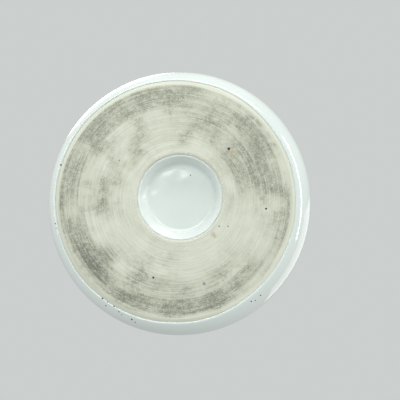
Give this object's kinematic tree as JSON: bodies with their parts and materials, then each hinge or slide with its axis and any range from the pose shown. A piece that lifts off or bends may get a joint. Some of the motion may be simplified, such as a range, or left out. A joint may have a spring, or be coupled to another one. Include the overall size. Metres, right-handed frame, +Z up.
{
  "type": "brush pot",
  "caption": "Small cylindrical glazed porcelain brush pot with a wide unglazed foot ring round a shallow glazed well, open at the top to hold brushes.",
  "frame": {"origin": "centre of the foot, on the surface the pot stands on", "axes": "+Z up along the pot's axis, from the foot to the mouth"},
  "size_m": [0.094, 0.094, 0.12],
  "materials": {
    "biscuit": "unglazed, turned and soiled",
    "pot_glaze": "clear glossy glaze, faintly blue",
    "well_glaze": "clear glaze, faintly blue green"
  },
  "bodies": {
    "root": {"porcelain_body": "biscuit", "outside_glaze": "pot_glaze", "inside_glaze": "pot_glaze", "well_glaze": "well_glaze"}
  },
  "joints": []
}
